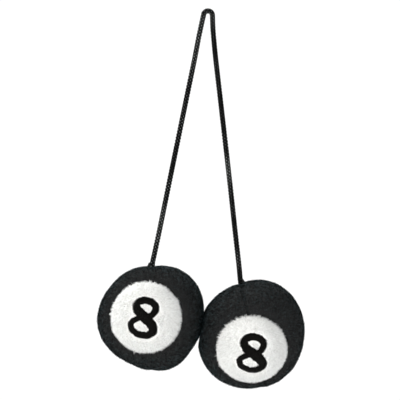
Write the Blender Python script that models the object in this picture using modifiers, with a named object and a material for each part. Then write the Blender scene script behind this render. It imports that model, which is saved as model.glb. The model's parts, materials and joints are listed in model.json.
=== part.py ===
"""A pair of plush billiard balls, each numbered 8, that hang from one folded cord.

Units are metres and +Z is up. +X is to the right and both faces look towards -Y. The origin is
the underside of the cord at the top of its fold, where the pair hangs on a hook or a mirror stem.
Each ball is a cover of four plush gores around loose stuffing. A round white patch with an
embroidered numeral is let into its front, and the cord enters at its pole and ends in a knot.
"""

import math
from collections import namedtuple

import bpy
from mathutils import Matrix, Vector

PART_NAME = "plush_ball_pair"
CUTTERS_NAME = "cutters"

# Driving dimensions.
CORD_DIAMETER = 0.0032
BALL_RADIUS = 0.0356  # to the fabric's ground; the pile stands outside it
FABRIC_THICKNESS = 0.0012
GAP = 0.0003  # clearance between neighbouring solids
PATCH_HALF_ANGLE = math.radians(43.0)  # seen from the ball's centre
FACE_SINK = 0.0012  # how far the patch lies below the gores
NUMERAL_RELIEF = 0.0008
NUMERAL_STROKE = 0.0053
NUMERAL_HEIGHT = 0.0295
LOWER_LOOP = (0.0215, 0.0165)  # outer width and height
UPPER_LOOP = (0.0180, 0.0155)
BACKING_THICKNESS = 0.0005
BACKING_HALF_ANGLE = math.radians(34.0)
STUFFING_GAP = 0.0008  # from the cover's inside to the stuffing
DENT_GAP = 0.0004  # from the backing to the dent in the stuffing behind it
DENT_MARGIN = math.radians(3.0)  # how far that dent reaches past the patch
KNOT_STRAND_RADIUS = 0.0015
KNOT_LOBE = 0.0020  # a third of the distance from the knot's axis to its outermost strand
KNOT_DEPTH = 0.0162  # from the fabric's ground down to the knot's centre
COLLAR_INSIDE = 0.0020  # how far the collar reaches below the fabric's ground
COLLAR_OUTSIDE = 0.0030  # from the fabric's ground up to the collar's pivot
LINK_LENGTH = 0.0046  # between the two pivots at each end of a leg
BOW_REACH = 0.0105  # along the cord, from the top of the fold to the first pivot
FOLD_DEGREES = (0.0, 30.0, 60.0, 90.0)  # where the route's points lie on the fold
TACK_SIZE = (0.0034, 0.0030, 0.0026)  # length, width and height
TACK_ROUNDING = 0.0008

# Derived sizes.
CORD_RADIUS = CORD_DIAMETER / 2
FOLD_RADIUS = CORD_DIAMETER  # of the cord's centre line
PATCH_RADIUS = BALL_RADIUS - FACE_SINK
BACKING_RADIUS = PATCH_RADIUS - FABRIC_THICKNESS - 2 * GAP
STUFFING_RADIUS = BALL_RADIUS - FABRIC_THICKNESS - STUFFING_GAP
STUFFING_DENT_RADIUS = BACKING_RADIUS - BACKING_THICKNESS - DENT_GAP
CORD_HOLE_RADIUS = CORD_RADIUS + 2 * GAP
CLOSING_HOLE_RADIUS = 0.0008
JOINT_CLEARANCE = CORD_RADIUS + GAP  # from a pivot to the end of the piece above it
CUTTER_REACH = BALL_RADIUS * 1.2  # how far from the ball's centre a cutter ends
CUTTER_POINT = GAP / 3  # the radius of a conical cutter's blunt point
MERGE_DISTANCE = GAP / 30

# How finely round shapes are divided.
GORE_STEPS = 8
GORE_RINGS = 12
CAP_STEPS = 32
CAP_RINGS = 5
HIDDEN_STEPS = 24
HIDDEN_RINGS = 3
LOOP_STEPS = 24
LOOP_SIDES = 8
STUFFING_STEPS = 20
STUFFING_RINGS = 10
KNOT_STEPS = 42
ROUTE_DENSITY = 24
CORD_STEP = 0.008
FOLD_STEP = 0.0013

# A ball's centre, how its pole leans to the right, where its face points, how its numeral leans
# clockwise, on which side of the cord its tack sits, and the route of its leg below the fold.
Side = namedtuple("Side", "name centre lean yaw pitch numeral_lean tack route")
SIDES = (
    Side(
        name="left",
        centre=Vector((-0.0396, 0.0, -0.2170)),
        lean=0.0,
        yaw=math.radians(8.7),
        pitch=math.radians(-1.6),
        numeral_lean=math.radians(9.0),
        tack=-1.0,
        route=(
            (-0.0040, -0.0050),
            (-0.0055, -0.0120),
            (-0.0070, -0.0191),
            (-0.0097, -0.0334),
            (-0.0156, -0.0620),
            (-0.0273, -0.1191),
            (-0.0342, -0.1530),
            (-0.0376, -0.1690),
        ),
    ),
    Side(
        name="right",
        centre=Vector((0.0309, 0.0, -0.2293)),
        lean=math.radians(-11.5),
        yaw=0.0,
        pitch=math.radians(19.7),
        numeral_lean=math.radians(5.0),
        tack=1.0,
        route=(
            (0.0033, -0.0050),
            (0.0036, -0.0120),
            (0.0042, -0.0191),
            (0.0056, -0.0334),
            (0.0089, -0.0620),
            (0.0154, -0.1191),
            (0.0193, -0.1550),
            (0.0220, -0.1790),
        ),
    ),
)

# Colour, roughness and metallic value of each material.
FINISHES = {
    "black_plush": ((0.028, 0.031, 0.033), 0.95, 0.0),
    "white_plush": ((0.84, 0.83, 0.81), 0.95, 0.0),
    "embroidery_thread": ((0.010, 0.010, 0.011), 0.45, 0.0),
    "braided_cord": ((0.012, 0.012, 0.013), 0.55, 0.0),
    "polyester_fibre": ((0.86, 0.86, 0.85), 0.98, 0.0),
    "nonwoven_backing": ((0.78, 0.78, 0.76), 0.9, 0.0),
}


def clear_scene():
    """Removes whatever the file opened with."""
    for obj in list(bpy.data.objects):
        bpy.data.objects.remove(obj)


def add_collection(name):
    """A new collection in the scene."""
    collection = bpy.data.collections.new(name)
    bpy.context.scene.collection.children.link(collection)
    return collection


def add_material(name):
    """A Principled material from the table of finishes."""
    colour, roughness, metallic = FINISHES[name]
    material = bpy.data.materials.new(name)
    material.use_nodes = True
    shader = material.node_tree.nodes["Principled BSDF"]
    shader.inputs["Base Color"].default_value = (*colour, 1.0)
    shader.inputs["Roughness"].default_value = roughness
    shader.inputs["Metallic"].default_value = metallic
    return material


def add_object(name, data, material, matrix, parent):
    """An object of the part, placed in the world by matrix and carried by parent."""
    obj = bpy.data.objects.new(name, data)
    data.materials.append(bpy.data.materials[material])
    bpy.data.collections[PART_NAME].objects.link(obj)
    carry(obj, matrix, parent)
    return obj


def add_cutter(name, data, matrix):
    """A guide for a Boolean, which is no part of the object."""
    obj = bpy.data.objects.new(name, data)
    obj.hide_render = True
    obj.display_type = "WIRE"
    obj.matrix_world = matrix
    bpy.data.collections[CUTTERS_NAME].objects.link(obj)
    return obj


def add_pivot(name, place, parent):
    """An empty on a joint's axis, which carries the pieces that turn there."""
    pivot = bpy.data.objects.new(name, None)
    pivot.empty_display_size = CORD_DIAMETER
    bpy.data.collections[PART_NAME].objects.link(pivot)
    carry(pivot, Matrix.Translation(place), parent)
    return pivot


def carry(obj, matrix, parent):
    """Parents an object without moving it from its place in the world."""
    if parent is not None:
        obj.parent = parent
        obj.matrix_parent_inverse = parent.matrix_world.inverted()
    obj.matrix_world = matrix
    bpy.context.view_layer.update()


def smooth_shading(mesh):
    """Round pieces are shaded smooth, with their rims kept sharp."""
    mesh.shade_smooth()
    mesh.set_sharp_from_angle(angle=math.radians(40.0))


# Shells turned about the Z axis.


def arc_mesh(name, radius, polar_from, polar_to, rings):
    """An open arc in the XZ plane that runs down the outside, with angles from +Z."""
    polars = [polar_from + (polar_to - polar_from) * i / rings for i in range(rings + 1)]
    points = [(radius * math.sin(a), 0.0, radius * math.cos(a)) for a in polars]
    mesh = bpy.data.meshes.new(name)
    mesh.from_pydata(points, [(i, i + 1) for i in range(rings)], [])
    return mesh


def turn_shell(obj, sweep, steps, thickness):
    """Turns an arc about the object's Z axis and gives the surface a thickness inwards."""
    screw = obj.modifiers.new("turn", "SCREW")
    screw.axis = "Z"
    screw.angle = sweep
    screw.steps = steps
    screw.render_steps = steps
    screw.use_merge_vertices = True
    screw.merge_threshold = MERGE_DISTANCE
    solidify = obj.modifiers.new("thickness", "SOLIDIFY")
    solidify.thickness = thickness
    solidify.offset = -1.0


def cut(obj, cutter):
    """Takes a cutter's volume away from an object."""
    boolean = obj.modifiers.new("cut_" + cutter.name, "BOOLEAN")
    boolean.operation = "DIFFERENCE"
    boolean.solver = "EXACT"
    boolean.object = cutter


def cone_mesh(name, sides, lower_radius, upper_radius, lower, upper):
    """A cone or cylinder about +Z between two heights."""
    bpy.ops.mesh.primitive_cone_add(
        vertices=sides,
        radius1=lower_radius,
        radius2=upper_radius,
        depth=upper - lower,
    )
    primitive = bpy.context.active_object
    mesh = primitive.data
    mesh.name = name
    bpy.data.objects.remove(primitive)
    mesh.transform(Matrix.Translation((0.0, 0.0, (lower + upper) / 2)))
    return mesh


# Places on a ball.


def ball_frame(side):
    """The ball's frame: its centre, with +Z through the pole where the cord enters."""
    return Matrix.Translation(side.centre) @ Matrix.Rotation(side.lean, 4, "Y")


def pole_point(side, radius):
    """A point on the ball's axis, at a distance from its centre."""
    return ball_frame(side) @ Vector((0.0, 0.0, radius))


def face_frame(side):
    """The face's frame: the ball's centre, with +Z out through the patch and +Y up the face."""
    out = Vector(
        (
            -math.sin(side.yaw) * math.cos(side.pitch),
            -math.cos(side.yaw) * math.cos(side.pitch),
            -math.sin(side.pitch),
        )
    )
    right = Vector((0.0, 0.0, 1.0)).cross(out).normalized()
    up = out.cross(right)
    axes = Matrix((right, up, out)).transposed().to_4x4()
    return Matrix.Translation(side.centre) @ axes


# The ball's pieces.


def add_gores(side, parent):
    """The four quarters of the black cover. The front two are cut round the patch."""
    gap_angle = GAP / PATCH_RADIUS
    bite_mesh = cone_mesh(
        side.name + "_patch_bite",
        CAP_STEPS + CAP_STEPS // 2,
        CUTTER_POINT,
        CUTTER_REACH * math.tan(PATCH_HALF_ANGLE + gap_angle),
        0.0,
        CUTTER_REACH,
    )
    bite = add_cutter(side.name + "_patch_bite", bite_mesh, face_frame(side))
    polar_from = math.asin(CORD_HOLE_RADIUS / BALL_RADIUS)
    polar_to = math.pi - math.asin(CLOSING_HOLE_RADIUS / BALL_RADIUS)
    clear_of_seams = Matrix.Translation((GAP / 2, GAP / 2, 0.0))
    for quarter, place in enumerate(("back_right", "back_left", "front_left", "front_right")):
        name = f"{side.name}_gore_{place}"
        profile = arc_mesh(name, BALL_RADIUS, polar_from, polar_to, GORE_RINGS)
        turn = Matrix.Rotation(math.radians(90.0 * quarter), 4, "Z")
        matrix = ball_frame(side) @ turn @ clear_of_seams
        gore = add_object(name, profile, "black_plush", matrix, parent)
        turn_shell(gore, math.radians(90.0), GORE_STEPS, FABRIC_THICKNESS)
        if place.startswith("front"):
            cut(gore, bite)


def add_face(side, parent):
    """The white patch, and the stiff backing that the embroidery is sewn through."""
    frame = face_frame(side)
    name = side.name + "_face_patch"
    profile = arc_mesh(name, PATCH_RADIUS, 0.0, PATCH_HALF_ANGLE, CAP_RINGS)
    patch = add_object(name, profile, "white_plush", frame, parent)
    turn_shell(patch, math.tau, CAP_STEPS, FABRIC_THICKNESS)
    name = side.name + "_embroidery_backing"
    profile = arc_mesh(name, BACKING_RADIUS, 0.0, BACKING_HALF_ANGLE, HIDDEN_RINGS)
    backing = add_object(name, profile, "nonwoven_backing", frame, parent)
    turn_shell(backing, math.tau, HIDDEN_STEPS, BACKING_THICKNESS)


def loop_mesh(name, size, middle, lean):
    """One loop of the numeral: a torus made oval and flat, then wrapped round the patch."""
    stroke_radius = NUMERAL_STROKE / 2
    mean_radius = 2.5 * stroke_radius
    bpy.ops.mesh.primitive_torus_add(
        major_segments=LOOP_STEPS,
        minor_segments=LOOP_SIDES,
        major_radius=mean_radius,
        minor_radius=stroke_radius,
    )
    primitive = bpy.context.active_object
    mesh = primitive.data
    mesh.name = name
    bpy.data.objects.remove(primitive)
    half_width = size[0] / 2 - stroke_radius
    half_height = size[1] / 2 - stroke_radius
    flattening = NUMERAL_RELIEF / NUMERAL_STROKE
    base_radius = PATCH_RADIUS + GAP + NUMERAL_RELIEF / 2
    for vertex in mesh.vertices:
        angle = math.atan2(vertex.co.y, vertex.co.x)
        outwards = math.hypot(vertex.co.x, vertex.co.y) - mean_radius
        normal = Vector((half_height * math.cos(angle), half_width * math.sin(angle))).normalized()
        flat = Vector((half_width * math.cos(angle), half_height * math.sin(angle)))
        flat += normal * outwards + Vector((0.0, middle))
        flat.rotate(Matrix.Rotation(-lean, 2))
        radius = base_radius + vertex.co.z * flattening
        vertex.co = on_patch(flat) * radius
    return mesh


def on_patch(flat):
    """The direction from the ball's centre to a point measured along the patch's surface."""
    distance = flat.length
    polar = distance / PATCH_RADIUS
    across = flat.normalized() * math.sin(polar)
    return Vector((across.x, across.y, math.cos(polar)))


def add_numeral(side, parent):
    """The embroidered figure eight, as two loops joined into one piece."""
    lower_middle = (LOWER_LOOP[1] - NUMERAL_HEIGHT) / 2
    upper_middle = (NUMERAL_HEIGHT - UPPER_LOOP[1]) / 2
    name = side.name + "_numeral"
    lower = loop_mesh(name, LOWER_LOOP, lower_middle, side.numeral_lean)
    upper = loop_mesh(name + "_upper_loop", UPPER_LOOP, upper_middle, side.numeral_lean)
    upper_loop = add_cutter(name + "_upper_loop", upper, face_frame(side))
    numeral = add_object(name, lower, "embroidery_thread", face_frame(side), parent)
    join = numeral.modifiers.new("upper_loop", "BOOLEAN")
    join.operation = "UNION"
    join.solver = "EXACT"
    join.object = upper_loop
    smooth_shading(lower)


def add_stuffing(side, parent):
    """The fibre filling: a ball with a dent behind the patch and a pocket round the knot."""
    name = side.name + "_stuffing"
    bpy.ops.mesh.primitive_uv_sphere_add(
        segments=STUFFING_STEPS,
        ring_count=STUFFING_RINGS,
        radius=STUFFING_RADIUS,
    )
    primitive = bpy.context.active_object
    mesh = primitive.data
    bpy.data.objects.remove(primitive)
    stuffing = add_object(name, mesh, "polyester_fibre", ball_frame(side), parent)
    dent_depth = BALL_RADIUS - STUFFING_DENT_RADIUS
    dent_half_angle = PATCH_HALF_ANGLE + DENT_MARGIN
    dent_mesh = arc_mesh(name + "_dent", BALL_RADIUS, 0.0, dent_half_angle, HIDDEN_RINGS)
    dent = add_cutter(name + "_dent", dent_mesh, face_frame(side))
    turn_shell(dent, math.tau, HIDDEN_STEPS, dent_depth)
    cut(stuffing, dent)
    knot_height = BALL_RADIUS - KNOT_DEPTH
    pocket_radius = 3 * KNOT_LOBE + KNOT_STRAND_RADIUS + 2 * GAP
    pocket_half_height = KNOT_LOBE + KNOT_STRAND_RADIUS + 2 * GAP
    pocket_mesh = cone_mesh(
        name + "_knot_pocket",
        HIDDEN_STEPS,
        pocket_radius,
        pocket_radius,
        knot_height - pocket_half_height,
        knot_height + pocket_half_height,
    )
    cut(stuffing, add_cutter(name + "_knot_pocket", pocket_mesh, ball_frame(side)))
    bore_mesh = cone_mesh(
        name + "_cord_bore",
        HIDDEN_STEPS // 2,
        CORD_HOLE_RADIUS,
        CORD_HOLE_RADIUS,
        knot_height,
        CUTTER_REACH,
    )
    cut(stuffing, add_cutter(name + "_cord_bore", bore_mesh, ball_frame(side)))
    smooth_shading(mesh)


def add_tack(side, parent):
    """The sewn tuck of fabric beside the cord, where the cover was closed."""
    bpy.ops.mesh.primitive_cube_add(size=1.0)
    primitive = bpy.context.active_object
    mesh = primitive.data
    bpy.data.objects.remove(primitive)
    length, width, height = TACK_SIZE
    mesh.transform(Matrix.Diagonal((length, width, height, 1.0)))
    offset = CORD_HOLE_RADIUS + GAP + length / 2
    middle = BALL_RADIUS + GAP + height / 2
    matrix = ball_frame(side) @ Matrix.Translation((side.tack * offset, 0.0, middle))
    tack = add_object(side.name + "_exit_tack", mesh, "black_plush", matrix, parent)
    bevel = tack.modifiers.new("rounding", "BEVEL")
    bevel.width = TACK_ROUNDING
    bevel.segments = 2
    smooth_shading(mesh)


# The cord.


def smooth_route(points):
    """A dense Catmull-Rom curve through the route's points."""
    places = [Vector(p) for p in points]
    ends = [2 * places[0] - places[1], *places, 2 * places[-1] - places[-2]]
    dense = []
    for before, start, end, after in zip(ends, ends[1:], ends[2:], ends[3:]):
        for i in range(ROUTE_DENSITY):
            t = i / ROUTE_DENSITY
            dense.append(
                0.5
                * (
                    2 * start
                    + (end - before) * t
                    + (2 * before - 5 * start + 4 * end - after) * t**2
                    + (3 * start - before - 3 * end + after) * t**3
                )
            )
    dense.append(places[-1])
    return dense


def leg_route(side):
    """The centre line from the top of the fold down into the ball."""
    outwards = -1.0 if side.name == "left" else 1.0
    fold = []
    for degrees in FOLD_DEGREES:
        turn = math.radians(degrees)
        x = outwards * FOLD_RADIUS * math.sin(turn)
        z = CORD_RADIUS - FOLD_RADIUS * (1.0 - math.cos(turn))
        fold.append((x, 0.0, z))
    leg = [(x, 0.0, z) for x, z in side.route]
    outside = BALL_RADIUS + COLLAR_OUTSIDE
    entry = [pole_point(side, outside), pole_point(side, BALL_RADIUS - COLLAR_INSIDE)]
    return smooth_route([*fold, *leg, *entry])


def route_length(route):
    """The length of a dense route."""
    return sum((b - a).length for a, b in zip(route, route[1:]))


def point_at(route, distance):
    """The place and direction on a dense route, at a distance from its start."""
    for start, end in zip(route, route[1:]):
        step = (end - start).length
        if distance <= step:
            return start + (end - start) * (distance / step), (end - start).normalized()
        distance -= step
    return route[-1], (route[-1] - route[-2]).normalized()


def stretch(route, begin, finish, step):
    """Points along a route between two distances, about a step apart."""
    count = max(2, round((finish - begin) / step))
    return [point_at(route, begin + (finish - begin) * i / count)[0] for i in range(count + 1)]


def domed(points, direction):
    """Points and radius factors of a tube whose start is a dome centred on its first point."""
    dome = [(0.95, 0.31), (0.8, 0.6), (0.5, 0.866)]
    extra = [points[0] - direction * CORD_RADIUS * height for height, _ in dome]
    factors = [factor for _, factor in dome] + [1.0] * len(points)
    return extra + points, factors


def add_tube(name, points, factors, radius, parent, origin, closed=False):
    """A round tube along points, with its origin on the joint that carries it."""
    curve = bpy.data.curves.new(name, "CURVE")
    curve.dimensions = "3D"
    curve.bevel_depth = radius
    curve.bevel_resolution = 2
    curve.use_fill_caps = True
    spline = curve.splines.new("POLY")
    spline.points.add(len(points) - 1)
    spline.use_cyclic_u = closed
    spline.use_smooth = True
    for target, place, factor in zip(spline.points, points, factors):
        target.co = (*(place - origin), 1.0)
        target.radius = factor
    return add_object(name, curve, "braided_cord", Matrix.Translation(origin), parent)


def pivot_distances(route):
    """Where the joints lie along a route: two below the fold and two above the ball."""
    collar = route_length(route) - COLLAR_INSIDE - COLLAR_OUTSIDE
    return {
        "swing": BOW_REACH,
        "spread": BOW_REACH + LINK_LENGTH,
        "tilt": collar - LINK_LENGTH,
        "nod": collar,
    }


def add_bow():
    """The top of the fold, which hangs on the hook and carries everything else."""
    ends = [stretch(leg_route(s), 0.0, BOW_REACH - JOINT_CLEARANCE, FOLD_STEP) for s in SIDES]
    points = ends[0][:0:-1] + ends[1]
    return add_tube("cord_bow", points, [1.0] * len(points), CORD_RADIUS, None, Vector())


def add_link(side, name, route, begin, finish, pivot):
    """One stretch of a leg that turns on the pivot at its upper end."""
    place, direction = point_at(route, begin)
    points, factors = domed(stretch(route, begin, finish, CORD_STEP), direction)
    add_tube(f"cord_{side.name}_{name}", points, factors, CORD_RADIUS, pivot, place)


def add_leg(side, bow):
    """The pieces of one leg, each on its own pivot. Returns the pivot that carries the ball."""
    route = leg_route(side)
    distances = pivot_distances(route)
    pivots = {}
    parent = bow
    for joint, distance in distances.items():
        place = point_at(route, distance)[0]
        parent = add_pivot(f"{side.name}_{joint}_pivot", place, parent)
        pivots[joint] = parent
    names = ("shoulder", "leg", "neck")
    joints = list(distances)
    for name, upper, lower in zip(names, joints, joints[1:]):
        finish = distances[lower] - JOINT_CLEARANCE
        add_link(side, name, route, distances[upper], finish, pivots[upper])
    add_link(side, "collar", route, distances["nod"], route_length(route), pivots["nod"])
    return add_pivot(f"{side.name}_twist_pivot", pole_point(side, BALL_RADIUS), pivots["nod"])


def add_knot(side, parent):
    """The cord's end inside the ball: a straight tail and the overhand knot that stops it."""
    knot_height = BALL_RADIUS - KNOT_DEPTH
    tail_top = BALL_RADIUS - COLLAR_INSIDE - GAP
    tail_bottom = knot_height + KNOT_LOBE + KNOT_STRAND_RADIUS + GAP
    tail = [pole_point(side, tail_top), pole_point(side, tail_bottom)]
    name = side.name + "_cord_tail"
    add_tube(name, tail, [1.0, 1.0], CORD_RADIUS, parent, side.centre)
    frame = ball_frame(side) @ Matrix.Translation((0.0, 0.0, knot_height))
    strand = []
    for i in range(KNOT_STEPS):
        t = math.tau * i / KNOT_STEPS
        x = KNOT_LOBE * (math.sin(t) + 2 * math.sin(2 * t))
        y = KNOT_LOBE * (math.cos(t) - 2 * math.cos(2 * t))
        z = -KNOT_LOBE * math.sin(3 * t)
        strand.append(frame @ Vector((x, y, z)))
    name = side.name + "_stopper_knot"
    factors = [1.0] * KNOT_STEPS
    add_tube(name, strand, factors, KNOT_STRAND_RADIUS, parent, side.centre, closed=True)


def add_ball(side, parent):
    """Everything that turns with one ball."""
    add_gores(side, parent)
    add_face(side, parent)
    add_numeral(side, parent)
    add_stuffing(side, parent)
    add_tack(side, parent)
    add_knot(side, parent)


def main():
    """Builds the pair."""
    clear_scene()
    add_collection(PART_NAME)
    add_collection(CUTTERS_NAME)
    for name in FINISHES:
        add_material(name)
    bow = add_bow()
    for side in SIDES:
        add_ball(side, add_leg(side, bow))


main()
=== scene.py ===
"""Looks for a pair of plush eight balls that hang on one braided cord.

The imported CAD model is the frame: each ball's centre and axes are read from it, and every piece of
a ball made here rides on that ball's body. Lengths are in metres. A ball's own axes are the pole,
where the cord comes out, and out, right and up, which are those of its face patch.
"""

import json
import math
from collections import namedtuple

import bmesh
import bpy
import numpy as np
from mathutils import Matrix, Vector
from mathutils.bvhtree import BVHTree
from mathutils.kdtree import KDTree


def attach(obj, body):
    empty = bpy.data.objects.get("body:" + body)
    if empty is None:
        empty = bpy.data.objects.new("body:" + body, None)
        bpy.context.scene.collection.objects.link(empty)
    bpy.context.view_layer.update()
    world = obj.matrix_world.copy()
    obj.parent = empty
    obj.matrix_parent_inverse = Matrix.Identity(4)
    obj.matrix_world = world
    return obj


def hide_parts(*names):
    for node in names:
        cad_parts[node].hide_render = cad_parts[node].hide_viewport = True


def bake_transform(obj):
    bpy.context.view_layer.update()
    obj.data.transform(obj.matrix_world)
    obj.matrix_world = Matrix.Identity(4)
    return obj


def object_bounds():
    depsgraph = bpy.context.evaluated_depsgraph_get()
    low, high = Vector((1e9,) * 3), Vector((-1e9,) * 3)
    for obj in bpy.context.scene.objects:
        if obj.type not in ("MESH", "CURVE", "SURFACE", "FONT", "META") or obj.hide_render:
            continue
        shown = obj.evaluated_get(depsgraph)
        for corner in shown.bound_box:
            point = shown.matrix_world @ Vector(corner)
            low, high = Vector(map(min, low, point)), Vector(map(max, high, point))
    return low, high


MM = 0.001
TINY = 1e-9
SEED = 8

# Camera, light and floor
CAMERA_DISTANCE = 2.5
VIEW_WIDTH = 0.2856  # what the picture spans at the object's distance
SENSOR_WIDTH = 0.036
VIEW_OFFSET = Vector((-0.0013, 0.0, -0.0026))  # from the CAD box's centre to the picture's
FLOOR_DROP = 0.18  # from the balls down to the floor
FLOOR_RADIUS = 2.6
FLOOR_SIDES = 96
WORLD_LIGHT, WORLD_SEEN = 0.54, 1.05  # the white room's strength as light, and to the camera

# Cord, as in the CAD source
CORD_DIAMETER = 0.0032
CORD_RADIUS = CORD_DIAMETER / 2
FOLD_RADIUS = CORD_DIAMETER  # of the cord's centre line at the top
GROUND_RADIUS = 0.0356  # the CAD ball's, to the fabric's ground
COLLAR_OUTSIDE = 0.0030
COLLAR_INSIDE = 0.0020
FOLD_DEGREES = (0.0, 30.0, 60.0, 90.0)
ROUTE_DENSITY = 24
ROUTES = {  # x and z of each leg's centre line, below the fold
    "left": (
        (-0.0040, -0.0050),
        (-0.0055, -0.0120),
        (-0.0070, -0.0191),
        (-0.0097, -0.0334),
        (-0.0156, -0.0620),
        (-0.0273, -0.1191),
        (-0.0342, -0.1530),
        (-0.0376, -0.1690),
    ),
    "right": (
        (0.0033, -0.0050),
        (0.0036, -0.0120),
        (0.0042, -0.0191),
        (0.0056, -0.0334),
        (0.0089, -0.0620),
        (0.0154, -0.1191),
        (0.0193, -0.1550),
        (0.0220, -0.1790),
    ),
}

# Braid
CARRIERS = 4  # strands each way round
BRAID_PITCH = 0.0091  # along the cord, for one strand's full turn
BRAID_TWIST = 0.3  # along the cord, for one full turn of the whole braid
BRAID_START = 0.25  # in strands, so that two rows of crowns face forwards low on the right leg
BRAID_DEPTH = 0.0005
BRAID_SWELL = 0.00018  # how far the braid's middle radius lies outside the cord's
STRAND_WIDTH, STRAND_ROUNDNESS = 0.92, 0.8  # of a strand's hump, seen across the strand
STRAND_REACH, STRAND_DIVE = 0.8, 0.9  # and along it, where it dives under the next one
RING_SIDES = 36
RING_STEP = 0.0003
PATH_STEP = 0.0012

# Balls
SKIN_THICKNESS = 0.0008
SEAM_WIDTH = 0.0010
SEAM_WANDER = 0.0007  # how far the seams stray from great circles
SEAM_WAVES, SEAM_SHIFT = (5, 11), 1.0  # in half a turn, and the second wave's start
SEAM_FADING = 0.35  # the sine of the angle from the poles within which the seams fade out
SEAM_GAP = 0.0001  # between the patch and its seam
RIM_DEPTH, RIM_WIDTH = 0.0020, 0.0016
EXIT_DEPTH, EXIT_ANGLE = 0.0011, math.radians(20.0)
DIMPLE_DEPTH, DIMPLE_WIDTH = 0.0012, 0.0030  # right round the cord
EXIT_HOLE = 0.0017  # the radius of the gap in the cover round the cord
PRESS_SOFTNESS = 0.00012
CONTACT_GAP = 0.00005  # between each skin and the plane where the balls press on each other
PILE_OVERLAP = 0.00025  # how far the pile reaches past that plane, into the other ball's
NEARLY_FACING = 0.2  # the cosine of the widest angle from the other ball at which that plane counts
LUMP_HEIGHT = 0.0009
LUMP_WAVES, LUMP_LENGTHS = 28, (0.006, 0.018)
GORE_STEPS, GORE_RINGS = 64, 128
POLE_GAP = 0.0005  # how far the gores stop short of the lower pole, as an angle
RIM_SNAP = 0.002  # how near a gore's vertex lies to the patch's edge to be moved onto it
TUCK_ROOT = 0.0012  # how deep the tuck beside the cord starts below the skin
TUCK_RINGS, TUCK_SIDES = 12, 20
TUCK_DEEPER = 1.2  # its depth for its width
TUCK_SHOULDER = 0.6  # the share of its height where its top starts to round off
TUCK_FOLDS, TUCK_FOLD_DEPTH, TUCK_FOLD_TURN = 3, 0.1, 0.6
TUCK_CURVE = 1.5  # how late up its height it starts to lean
TUCK_PILE_SHARE = 0.4  # its pile's length for the ball's
PATCH_STEPS, PATCH_RINGS = 144, 32
BLUNT = 1.02  # keeps the ends of a dome's profile from closing to a point
QUARTERS = ("back_right", "back_left", "front_left", "front_right")

# Cover simulation
COVER_DIVISIONS = 5  # of an icosahedron
COVER_QUALITY = 4
COVER_PRESSURE = 6000.0  # the stuffing's, on so coarse a mesh
COVER_STRETCH = 5.0
COVER_SHEAR = COVER_STRETCH / 3
COVER_BENDING = COVER_STRETCH / 100
COVER_VERTEX_MASS = 0.05
COVER_FRAMES = 20
COVER_RISE = 0.0017  # the most that it may lift the cover
PIN_WIDTH = 0.0016  # how near a seam the cover is held

# Where a ball swells or sinks: degrees from +X in the picture's plane, degrees forwards, height in
# millimetres, and width in degrees.
Bulge = namedtuple("Bulge", "degrees forward height width")
# The tuck beside the cord: its distance from the pole, its height and its radius, how many radii its
# top leans towards the cord, and how much of its width it loses on the way up.
Tuck = namedtuple("Tuck", "offset height radius lean taper")
# A tuft of white pile that has strayed over the seam: its place round the patch and its size.
Stray = namedtuple("Stray", "degrees length width")
# How the numeral is turned, scaled and shifted on its patch.
Numeral = namedtuple("Numeral", "turn scale shift")
Side = namedtuple(
    "Side", "name outwards skin_radius patch_half_angle seam_depth numeral tuck strays bulges"
)
SIDES = (
    Side(
        name="left",
        outwards=-1.0,
        skin_radius=0.0370,
        patch_half_angle=math.radians(43.0),
        seam_depth=0.00012,
        numeral=Numeral(turn=0.0, scale=(1.0, 0.975), shift=(-0.0002, -0.0003)),
        tuck=Tuck(offset=0.0023, height=0.0044, radius=0.00125, lean=0.0, taper=0.1),
        strays=(Stray(251, 0.0034, 0.0009), Stray(175, 0.0015, 0.0018)),
        bulges=(
            Bulge(46, 0, 1.5, 30),
            Bulge(192, 0, 1.5, 30),
            Bulge(288, 0, 0.9, 26),
            Bulge(80, 0, -0.9, 13),
            Bulge(118, 0, -0.9, 26),
            Bulge(144, 0, -1.4, 14),
            Bulge(242, 0, -2.3, 20),
            Bulge(324, 0, -3.0, 16),
            Bulge(354, 0, -2.1, 24),
            Bulge(150, -60, 0.9, 32),
            Bulge(330, -50, 1.0, 34),
        ),
    ),
    Side(
        name="right",
        outwards=1.0,
        skin_radius=0.0377,
        patch_half_angle=math.radians(41.9),
        seam_depth=0.0005,
        numeral=Numeral(turn=math.radians(4.0), scale=(1.0, 0.99), shift=(0.0, 0.0005)),
        tuck=Tuck(offset=0.0026, height=0.0053, radius=0.0017, lean=1.0, taper=0.75),
        strays=(),
        bulges=(
            Bulge(58, 0, 1.7, 36),
            Bulge(226, 0, 1.2, 30),
            Bulge(128, 0, -2.0, 28),
            Bulge(170, 0, -1.6, 24),
            Bulge(262, 0, -0.8, 14),
            Bulge(348, 0, -1.6, 30),
            Bulge(100, -70, 0.9, 34),
            Bulge(300, -45, 0.9, 30),
        ),
    ),
)

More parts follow.
